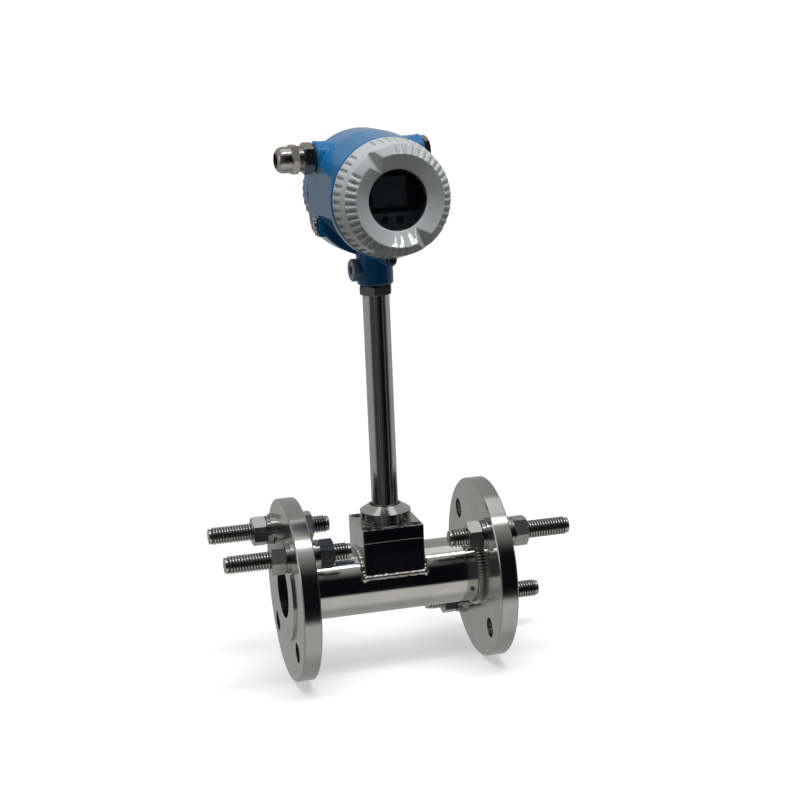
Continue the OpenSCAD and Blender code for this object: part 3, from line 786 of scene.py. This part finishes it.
@dataclass
class FlangeStuds:
    """Threaded studs of the two flanges, with oil in the grooves of their threads.

    Attributes:
        radius: Outside radius of the thread.
        root: Depth of the thread.
        pitch: Pitch of the thread.
        length: Length of a stud.
        tip: Length of the plain, chamfered tip.
        core_depth: Depth of the dark core's skin, which paints the shade in the grooves, as a share of the thread's
            depth.
        tip_depth: Depth of the tip's skin, as a share of the thread's depth.
        out: How far a stud stands past its sealing face.
        circle: Radius of the bolt circle.
        outlet: Place of the outlet sealing face.
        inlet_degrees: Turn of each inlet stud from the top.
        outlet_degrees: Turn of each outlet stud from the top.
    """

    radius: float = 8.0 * MM
    root: float = 1.4 * MM
    pitch: float = 2.5 * MM
    length: float = 112.0 * MM
    tip: float = 3.0 * MM
    core_depth: float = 0.9
    tip_depth: float = 0.75
    out: float = 58.0 * MM
    circle: float = 62.5 * MM
    outlet: float = 198.0 * MM
    inlet_degrees: tuple[float, ...] = (45.0, -45.0)
    outlet_degrees: tuple[float, ...] = (45.0, -135.0)

    def build(self) -> None:
        """Models one stud, copies it into its holes and delivers the threads and the cores."""
        places = self._places()
        ridge = screw_thread(self.radius, self.root, self.pitch, int(self.length / self.pitch) - 2)
        threads = Bench.copies(Bench.join([ridge, self._tip(1.0), self._tip(-1.0)]), places)
        Bench.deliver(threads, "stud_threads", BRIGHT_FASTENER, Body.BASE, Slot.FASTENER, 25.0)
        # The dark core shows between the ridges as painted shade in the thread grooves.
        core = self._rod(self.radius - self.core_depth * self.root, self.length - self.tip)
        cores = Bench.copies(core, places)
        Bench.deliver(cores, "stud_groove_shade", GROOVE_SHADE_STEEL, Body.BASE, Slot.FASTENER, 25.0, ("flange_studs",))

    def _rod(self, radius: float, length: float) -> Piece:
        """Models a plain rod with broken ends, standing on the Z axis about the origin.

        Args:
            radius: Radius of the rod.
            length: Length of the rod.

        Returns:
            The rod, settled.
        """
        Bench.clear()
        bpy.ops.mesh.primitive_cylinder_add(vertices=48, radius=radius, depth=length, end_fill_type="NGON")
        rod = bpy.context.object
        Bench.mark_faces(rod, lambda face: abs(face.normal.z) > 0.9)
        bpy.ops.mesh.bevel(offset=0.1 * radius, segments=2, affect="EDGES")
        Bench.settle(rod)
        return rod

    def _tip(self, end: float) -> Piece:
        """Models the plain tip at one end of a stud.

        Args:
            end: Sign of the end along Z.

        Returns:
            The tip.
        """
        tip = self._rod(self.radius - self.tip_depth * self.root, self.tip)
        tip.data.transform(Matrix.Translation((0.0, 0.0, end * (self.length - self.tip) / 2)))
        return tip

    def _places(self) -> list[Matrix]:
        """Works out where the studs sit in their holes.

        Returns:
            The place of each stud.
        """
        lying = Matrix.Rotation(math.radians(90.0), 4, "Y")
        places = []
        for face, sign, degrees in ((0.0, -1.0, self.inlet_degrees), (self.outlet, 1.0, self.outlet_degrees)):
            middle = face + sign * (self.out - self.length / 2)
            for angle in degrees:
                turn = math.radians(angle)
                spot = (middle, -self.circle * math.sin(turn), self.circle * math.cos(turn))
                places.append(Matrix.Translation(spot) @ lying)
        return places


# Corners of a thread's ridge: depth as a share of the thread's depth, rise as a share of its pitch.
THREAD_PROFILE = ((0.0, 0.3), (0.0, 0.66), (1.0, 0.88), (1.0, 0.08))
THREAD_STEPS = 28


def screw_thread(radius: float, root: float, pitch: float, turns: int) -> Piece:
    """Winds the ridge of a screw thread round the Z axis, centred on the origin.

    Args:
        radius: Outside radius of the thread.
        root: Depth of the thread.
        pitch: Pitch of the thread.
        turns: Number of turns.

    Returns:
        The closed ridge.
    """
    Bench.clear()
    bpy.ops.mesh.primitive_circle_add(vertices=4, radius=1.0, fill_type="NOTHING")
    thread = bpy.context.object
    for vertex, (depth, rise) in zip(thread.data.vertices, THREAD_PROFILE):
        vertex.co = (radius - depth * root, 0.0, rise * pitch)
    Bench.apply(thread, "SCREW", axis="Z", screw_offset=pitch, angle=2 * math.pi, steps=THREAD_STEPS,
                render_steps=THREAD_STEPS, iterations=turns)
    thread.data.transform(Matrix.Translation((0.0, 0.0, -(turns + 1) * pitch / 2)))
    Bench.clean(thread, len(THREAD_PROFILE))
    return thread


@dataclass
class GlandThread:
    """Clamping thread of the cable gland, which shows between its two hexagons.

    Attributes:
        radius: Outside radius of the thread.
        root: Depth of the thread.
        pitch: Pitch of the thread.
        turns: Number of turns that show.
        reach: Distance of the bare neck's middle from the stem axis.
        height: Height of the cable entry over the head's axis.
        back: Distance of the cable entry behind the stem axis.
    """

    radius: float = 11.1 * MM
    root: float = 0.8 * MM
    pitch: float = 1.25 * MM
    turns: int = 2
    reach: float = 61.7 * MM
    height: float = 33.0 * MM
    back: float = 7.0 * MM

    def build(self) -> None:
        """Winds the thread round the neck of the gland and delivers it."""
        thread = screw_thread(self.radius, self.root, self.pitch, self.turns)
        spot = Matrix.Translation((-self.reach, self.back, self.height))
        thread.data.transform(HEAD_PLACE @ spot @ Matrix.Rotation(math.radians(90.0), 4, "Y"))
        Bench.deliver(thread, "gland_clamp_thread", NICKEL_PLATE, Body.HEAD, Slot.BRASS, 25.0)


@dataclass
class WeldBeads:
    """Rippled weld beads of the flow tube, laid as overlapping scales.

    Attributes:
        pipe_radius: Outside radius of the pipe.
        leg: Leg of the bead.
        flange_inside: Distance of a flange's inner face from its sealing face.
        outlet: Place of the outlet sealing face.
        block_half: Half side of the square block.
        step: Distance from scale to scale in the even beads at the flanges.
        stride: Mean distance from scale to scale in the hand laid bead of the block.
        ring_scale: Half sizes of a scale at the flanges: along the bead, across it and upwards.
        foot_scale: The same of a scale at the block.
        slant: Slant of a scale's raised back edge in degrees.
        toe: Distance of a flange bead's middle from the flange, as a share of the leg.
        crest: Its distance from the pipe, as a share of the leg.
        stand_off: Distance of the block bead's middle from the block.
        lean: Lean of the block bead's straight runs in radians.
    """

    pipe_radius: float = 30.15 * MM
    leg: float = 5.0 * MM
    flange_inside: float = 18.0 * MM
    outlet: float = 198.0 * MM
    block_half: float = 28.0 * MM
    step: float = 2.7 * MM
    stride: float = 3.1 * MM
    ring_scale: Triple = (1.2 * MM, 3.5 * MM, 3.3 * MM)
    foot_scale: Triple = (4.2 * MM, 2.5 * MM, 2.0 * MM)
    slant: float = 18.0
    toe: float = 0.36
    crest: float = 0.3
    stand_off: float = 0.4 * MM
    lean: float = 0.6

    def build(self) -> None:
        """Lays the beads at both flanges and round the foot of the block."""
        rings = []
        for face, sign in ((self.flange_inside, 1.0), (self.outlet - self.flange_inside, -1.0)):
            rings += self._ring(face + sign * self.toe * self.leg)
        beads = Bench.copies(self._scale(self.ring_scale), rings)
        Bench.deliver(beads, "flange_weld_beads", WELD_METAL, Body.BASE, Slot.WELD, 60.0, ("flange_welds",))
        foot = Bench.copies(self._scale(self.foot_scale), self._foot())
        Bench.deliver(foot, "block_weld_bead", WELD_METAL, Body.BASE, Slot.WELD, 60.0, ("block_weld",))

    def _scale(self, size: Triple) -> Piece:
        """Models one scale of a bead: a pool that froze with a raised back edge.

        Args:
            size: Half sizes along the bead, across it and upwards.

        Returns:
            The scale, lying along X about the origin.
        """
        Bench.clear()
        bpy.ops.mesh.primitive_uv_sphere_add(segments=14, ring_count=8, radius=1.0)
        scale = bpy.context.object
        with Bench.editing(scale):
            bpy.ops.transform.resize(value=size)
            bpy.ops.transform.rotate(value=math.radians(self.slant), orient_axis="Y", center_override=(0.0, 0.0, 0.0))
        Bench.settle(scale)
        return scale

    def _ring(self, x: float) -> list[Matrix]:
        """Works out where the scales lie round the pipe at one flange.

        Args:
            x: Place of the bead along the pipe.

        Returns:
            The place of each scale.
        """
        radius = self.pipe_radius + self.crest * self.leg
        count = round(2 * math.pi * radius / self.step)
        places = []
        for i in range(count):
            turn = Matrix.Rotation(2 * math.pi * i / count, 4, "X")
            lift = Matrix.Translation((x, 0.0, radius))
            places.append(turn @ lift @ Matrix.Rotation(math.pi / 2, 4, "Z"))
        return places

    def _foot(self) -> list[Matrix]:
        """Works out where the scales lie round the foot of the block.

        Returns:
            The place of each scale.
        """
        places = []
        span = math.asin(self.block_half / self.pipe_radius)
        reach = self.block_half + self.stand_off
        height = math.sqrt(self.pipe_radius ** 2 - self.block_half ** 2)
        count = round(2 * self.block_half / self.stride)
        for side in (-1.0, 1.0):
            for i in range(count + 1):
                x = STEM_X - self.block_half + 2 * self.block_half * i / count
                tilt = Matrix.Rotation(-side * self.lean, 4, "X")
                places.append(Matrix.Translation((x, side * reach, height)) @ tilt @ self._unsteady(i))
        arcs = round(2 * span * self.pipe_radius / self.stride)
        for side in (-1.0, 1.0):
            for i in range(arcs + 1):
                turn = Matrix.Rotation(-span + 2 * span * i / arcs, 4, "X")
                spot = Matrix.Translation((STEM_X + side * reach, 0.0, self.pipe_radius))
                places.append(turn @ spot @ Matrix.Rotation(math.pi / 2, 4, "Z") @ self._unsteady(i))
        return places

    @staticmethod
    def _unsteady(i: int) -> Matrix:
        """Gives one scale the small change of size and place that a hand leaves.

        Args:
            i: Number of the scale in its run.

        Returns:
            The change.
        """
        size = 1.0 + 0.16 * math.sin(2.3 * i) + 0.08 * math.sin(5.1 * i + 1.0)
        shift = Matrix.Translation((0.4 * MM * math.sin(3.7 * i), 0.0, 0.3 * MM * math.sin(1.9 * i + 2.0)))
        return shift @ Matrix.Diagonal((1.0, size, size, 1.0))


@dataclass
class Keypad:
    """Printed film under the display with a moulded ring round each key.

    Attributes:
        front: Distance of the bezel's face before the stem axis.
        radius: Radius of the film.
        thick: Thickness of the film.
        top: Height of the film's straight upper edge over the head's axis.
        keys: Places of the keys across the head.
        drop: How far the keys lie under the head's axis.
        hole: Radius of the holes for the keys.
        ring_out: Distance of a ring's middle from the edge of its hole.
        ring_wire: Radius of a ring's section.
        ring_flat: Height of that section, as a share of its width.
    """

    front: float = 45.0 * MM
    radius: float = 35.0 * MM
    thick: float = 0.3 * MM
    top: float = -12.4 * MM
    keys: tuple[float, ...] = (-4.5 * MM, 8.5 * MM)
    drop: float = 18.5 * MM
    hole: float = 3.5 * MM
    ring_out: float = 0.35 * MM
    ring_wire: float = 0.3 * MM
    ring_flat: float = 0.6

    def build(self) -> None:
        """Models the film and the rings and delivers them."""
        upright = HEAD_PLACE @ Matrix.Rotation(math.radians(90.0), 4, "X")
        film = self._film()
        film.data.transform(upright)
        Bench.deliver(film, "keypad_film", KEYPAD_FILM, Body.HEAD, Slot.BEZEL, 30.0)
        rings = Bench.join([self._ring(x) for x in self.keys])
        rings.data.transform(upright)
        Bench.deliver(rings, "key_rings", KEY_RING, Body.HEAD, Slot.BEZEL, 60.0)

    def _film(self) -> Piece:
        """Cuts the film out of a round blank: its straight edge first, then its holes.

        Returns:
            The film, facing along Z.
        """
        Bench.clear()
        middle = self.front + self.thick / 2
        bpy.ops.mesh.primitive_cylinder_add(vertices=96, radius=self.radius, depth=self.thick, location=(0, 0, middle))
        film = bpy.context.object
        Bench.settle(film)
        with Bench.editing(film):
            bpy.ops.mesh.bisect(plane_co=(0.0, self.top, 0.0), plane_no=(0.0, 1.0, 0.0), use_fill=True,
                                clear_outer=True)
        for x in self.keys:
            Bench.clear()
            bpy.ops.mesh.primitive_cylinder_add(vertices=40, radius=self.hole, depth=0.01,
                                                location=(x, -self.drop, middle))
            punch = bpy.context.object
            Bench.settle(punch)
            Bench.apply(film, "BOOLEAN", operation="DIFFERENCE", object=punch)
            bpy.data.objects.remove(punch)
        Bench.clean(film)
        return film

    def _ring(self, x: float) -> Piece:
        """Models the flat ring round one key.

        Args:
            x: Place of the key across the head.

        Returns:
            The ring, facing along Z.
        """
        Bench.clear()
        face = self.front + self.thick
        bpy.ops.mesh.primitive_torus_add(major_segments=40, minor_segments=8, major_radius=self.hole + self.ring_out,
                                         minor_radius=self.ring_wire, location=(x, -self.drop, face))
        ring = bpy.context.object
        Bench.settle(ring)
        with Bench.editing(ring):
            bpy.ops.transform.resize(value=(1.0, 1.0, self.ring_flat), center_override=(0.0, 0.0, face))
        return ring


@dataclass
class HeadCasting:
    """Die cast parts of the head with the soft edges and fillets of their moulds.

    Attributes:
        voxel: Grain of the mould that a casting is poured in.
        passes: How often its skin is smoothed.
        share: Share of the faces that is kept.
    """

    voxel: float
    passes: int
    share: float = 0.3

    def build(self, node: str, name: str, finish: Finish, body: Body, slot: Slot) -> None:
        """Recasts one solid with soft edges and delivers it.

        Args:
            node: CAD node that the casting stands for.
            name: Name of the casting.
            finish: Its finish.
            body: Body that it rides on.
            slot: Material slot of the record.
        """
        casting = Bench.from_node(node)
        Bench.apply(casting, "REMESH", mode="VOXEL", voxel_size=self.voxel)
        Bench.apply(casting, "SMOOTH", factor=0.5, iterations=self.passes)
        Bench.apply(casting, "DECIMATE", ratio=self.share)
        Bench.deliver(casting, name, finish, body, slot, 80.0, (node,))


@dataclass(frozen=True)
class Lamp:
    """Soft lamp with a rectangular face.

    Attributes:
        name: Name of the lamp.
        place: Where it hangs.
        aim: Point that it is turned to.
        size: Width and length of its face.
        watts: Its power.
        mirrored: Whether glossy surfaces mirror it.
        soft: Whether it lights matt surfaces.
    """

    name: str
    place: Triple
    aim: Triple
    size: Pair
    watts: float
    mirrored: bool = True
    soft: bool = True

    def build(self) -> Piece:
        """Hangs the lamp.

        Returns:
            The lamp.
        """
        light = bpy.data.lights.new(self.name, "AREA")
        light.shape = "RECTANGLE"
        light.size, light.size_y = self.size
        light.energy = self.watts
        lamp = bpy.data.objects.new(self.name, light)
        lamp.location = self.place
        lamp.rotation_euler = (Vector(self.aim) - Vector(self.place)).to_track_quat("-Z", "Y").to_euler()
        lamp.visible_glossy = self.mirrored
        lamp.visible_diffuse = self.soft
        bpy.context.collection.objects.link(lamp)
        LOG.info("%s: %.1f W", self.name, self.watts)
        return lamp


LOW_AIM = (0.1, 0.0, 0.2)
SIDE_AIM = (0.1, 0.0, 0.25)
HIGH_AIM = (0.1, 0.0, 0.3)
CEILING_LAMPS = (
    Lamp("ceiling_soft_box", (0.1, 0.25, 2.0), LOW_AIM, (1.8, 1.0), 3.6),
    Lamp("ceiling_tube", (0.15, -0.62, 2.0), HIGH_AIM, (2.2, 0.22), 9.0),
    Lamp("ceiling_fill", (0.15, -0.7, 2.0), HIGH_AIM, (1.6, 0.9), 19.0, mirrored=False),
)
FRONT_STRIPS = tuple(
    Lamp(f"front_strip_{i}", (x, y, 1.56), HIGH_AIM, (0.14, 0.42), 3.0, soft=False)
    for i, (x, y) in enumerate(((0.55, -1.72), (0.97, -1.6), (1.3, -1.55)))
)
LEFT_LAMP = Lamp("left_soft_box", (-1.8, -0.3, 0.9), SIDE_AIM, (0.9, 1.4), 2.0, soft=False)


@dataclass
class Studio:
    """White table, soft light and the dark room in front of it.

    Attributes:
        floor_z: Height of the table top.
        table_centre: Middle of the table top.
        table_reach: Half sizes of the table top, which fades out at its rim.
        table_glow: Light that the white table adds of its own.
        back_wall: Tone of the room behind and at the sides.
        table_tone: Tone of the table in front, as the metal mirrors it.
        dark_room: Tone of the room in front.
        camera_white: Tone of the room as the camera sees it.
        front_band: Where the sides of the room turn into its front.
        ground_band: Heights where the mirrored table ends.
        lamp_band: Heights where the dark room gives way to the lamps.
        bounce_band: Heights under which matt surfaces get less light.
        gap: Direction across in which the dark room is empty.
        gap_band: Distances from it at which the dim figures begin.
        figure_tone: Tone of the brightest figure.
    """

    floor_z: float = field(default_factory=lambda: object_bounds()[0][2])
    table_centre: Triple = (0.1, 0.08, 0.0)
    table_reach: Pair = (0.62, 0.42)
    table_glow: float = 0.42
    back_wall: Colour = (0.43, 0.43, 0.425)
    table_tone: Colour = (0.70, 0.70, 0.66)
    dark_room: Colour = (0.004, 0.004, 0.006)
    camera_white: Colour = (1.05, 1.05, 1.05)
    front_band: Pair = (0.05, 0.45)
    ground_band: Pair = (-0.5, -0.38)
    lamp_band: Pair = (0.5, 0.95)
    bounce_band: Pair = (-0.35, 0.15)
    gap: float = 0.26
    gap_band: Pair = (0.12, 0.4)
    figure_tone: float = 0.13

    def build(self) -> None:
        """Sets the table, the room and the lights."""
        self._table()
        self._room()
        for lamp in CEILING_LAMPS:
            lamp.build()
        cover = bpy.data.collections.new("lit_by_front_strips")
        cover.objects.link(bpy.data.objects["front_cover_casting"])
        for lamp in FRONT_STRIPS:
            lamp.build().light_linking.receiver_collection = cover
        LEFT_LAMP.build()

    def _table(self) -> None:
        """Lays the pale table top, which fades out into the room."""
        Bench.clear()
        bpy.ops.mesh.primitive_plane_add(size=4.0, location=(0.1, 0.0, self.floor_z))
        table = bpy.context.object
        Bench.settle(table)
        table.name = "table_top"
        shader = Shader("white table top")
        shader.constants({"Roughness": 0.5, "Specular IOR Level": 0.3, "Emission Strength": self.table_glow,
                          "Emission Color": (1.0, 1.0, 1.0, 1.0)})
        grain = shader.clouds(40.0, 3.0)
        shader.feed("Base Color", shader.ramp(grain, [(0.3, (0.86, 0.86, 0.86)), (0.7, (0.89, 0.89, 0.89))]))
        scale = (1.0 / self.table_reach[0], 1.0 / self.table_reach[1], 0.0)
        inputs = {0: shader.place(scale, self.table_centre)}
        away = shader.add("ShaderNodeVectorMath", inputs, operation="LENGTH").outputs[1]
        shader.feed("Alpha", shader.remap(away, (0.75, 1.0), (1.0, 0.0)))
        table.data.materials.append(shader.material)
        table.visible_diffuse = False
        table.visible_glossy = False
        table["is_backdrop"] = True

    def _room(self) -> None:
        """Makes the room: grey behind and at the sides, dark with dim figures in front, a pale table below."""
        world = bpy.data.worlds.new("room")
        bpy.context.scene.world = world
        world.use_nodes = True
        graph = NodeGraph(world.node_tree)
        graph.tree.nodes.clear()
        way = graph.add("ShaderNodeTexCoord").outputs["Generated"]
        split = graph.add("ShaderNodeSeparateXYZ", {0: way})
        height = split.outputs[2]
        front = graph.remap(graph.math("MULTIPLY", split.outputs[1], -1.0), self.front_band, (0.0, 1.0))
        ground = graph.remap(height, self.ground_band, (1.0, 0.0))
        under_lamps = graph.remap(height, self.lamp_band, (1.0, 0.0))
        pale = graph.mix(graph.math("MULTIPLY", front, ground), (*self.back_wall, 1.0), (*self.table_tone, 1.0))
        gloom = graph.math("MULTIPLY", graph.math("MULTIPLY", front, under_lamps), graph.math("SUBTRACT", 1.0, ground))
        side = graph.math("ABSOLUTE", graph.math("SUBTRACT", split.outputs[0], self.gap))
        inputs = {"W": split.outputs[0], "Scale": 7.0, "Detail": 2.0}
        figures = graph.add("ShaderNodeTexNoise", inputs, noise_dimensions="1D").outputs[0]
        figures = graph.remap(figures, (0.36, 0.66), (0.0, self.figure_tone))
        haze = graph.math("MULTIPLY", graph.remap(side, self.gap_band, (0.0, 1.0)), figures)
        tone = graph.mix(gloom, pale, graph.mix(1.0, (*self.dark_room, 1.0), haze, "ADD"))
        path = graph.add("ShaderNodeLightPath").outputs
        bounce = graph.remap(height, self.bounce_band, (0.2, 1.0))
        soft = graph.mix(path["Is Diffuse Ray"], tone, bounce, "MULTIPLY")
        seen = graph.mix(path["Is Camera Ray"], soft, (*self.camera_white, 1.0))
        back = graph.add("ShaderNodeBackground", {"Color": seen, "Strength": 1.0}).outputs[0]
        graph.add("ShaderNodeOutputWorld", {"Surface": back})


@dataclass(frozen=True)
class Viewpoint:
    """Camera of the photograph.

    Attributes:
        eye: Where it stands.
        aim: Point on its axis.
        roll: Its lean to the side in degrees.
        lens: Focal length in millimetres on a film of FILM_WIDTH.
    """

    eye: Triple = (-0.2643, -1.4722, 0.5178)
    aim: Triple = (0.1160, 0.0, 0.1645)
    roll: float = -2.344
    lens: float = 78.51

    def build(self) -> None:
        """Sets the camera and the plain tone curve of the picture."""
        data = bpy.data.cameras.new("camera")
        data.lens = self.lens
        data.sensor_width = FILM_WIDTH
        camera = bpy.data.objects.new("camera", data)
        bpy.context.collection.objects.link(camera)
        look = (Vector(self.aim) - Vector(self.eye)).to_track_quat("-Z", "Y").to_matrix().to_4x4()
        lean = Matrix.Rotation(math.radians(self.roll), 4, "Z")
        camera.matrix_world = Matrix.Translation(self.eye) @ look @ lean
        bpy.context.scene.camera = camera
        bpy.context.scene.view_settings.view_transform = "Standard"


def dress_nodes() -> None:
    """Gives every CAD node its finish."""
    for finish, nodes in NODE_FINISHES.items():
        material = Bench.material(finish)
        for node in nodes:
            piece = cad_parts[node]
            if not piece.material_slots:
                piece.data.materials.append(material)
            for place in piece.material_slots:
                place.material = material
            LOG.info("%s: %s", node, finish.name)


def main() -> None:
    """Builds the camera, the finishes, the modelled pieces and the studio."""
    logging.basicConfig(level=logging.INFO, format="%(name)s: %(message)s")
    Viewpoint().build()
    dress_nodes()
    FlangeStuds().build()
    WeldBeads().build()
    GlandThread().build()
    Keypad().build()
    HeadCasting(0.7 * MM, 5).build("housing", "head_casting", BLUE_ENAMEL, Body.HEAD, Slot.BLUE_PAINT)
    fine = HeadCasting(0.5 * MM, 4)
    fine.build("front_cover", "front_cover_casting", GREY_ENAMEL, Body.FRONT_COVER, Slot.GREY_PAINT)
    fine.build("rear_cover", "rear_cover_casting", BLUE_ENAMEL, Body.REAR_COVER, Slot.BLUE_PAINT)
    Studio().build()


if __name__ == "__main__":
    main()
